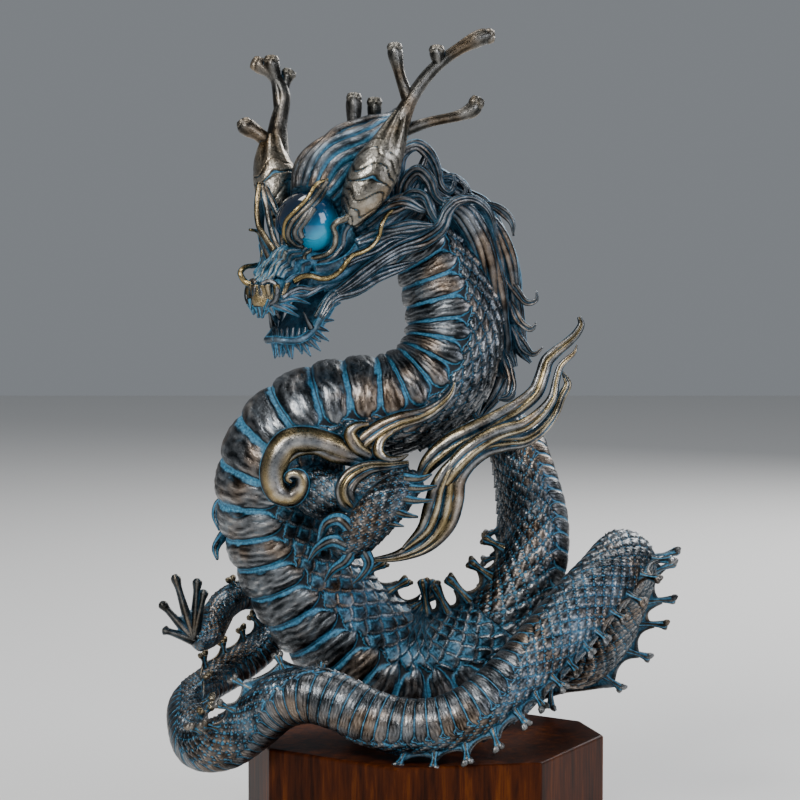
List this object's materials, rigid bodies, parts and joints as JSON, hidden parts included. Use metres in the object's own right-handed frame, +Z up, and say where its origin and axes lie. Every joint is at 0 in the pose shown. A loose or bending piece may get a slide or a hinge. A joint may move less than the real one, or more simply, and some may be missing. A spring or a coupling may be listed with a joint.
{
  "type": "dragon statue",
  "caption": "Bronze dragon coiled in a standing loop over a chamfered hardwood plinth, head turned down with a glass orb in its brow.",
  "frame": {"origin": "middle of the plinth's flat underside", "axes": "+Z up; -Y is the front, the side the picture looks at; +X is the viewer's right"},
  "size_m": [0.2257, 0.1601, 0.3587],
  "materials": {
    "bronze": "dark cast bronze, teal-blue patina in the recesses, gilded flames and horns",
    "orb_glass": "polished blue glass",
    "hardwood": "red-brown hardwood, gloss varnish"
  },
  "bodies": {
    "root": {"dragon": "bronze", "orb": "orb_glass", "plinth": "hardwood"}
  },
  "joints": []
}
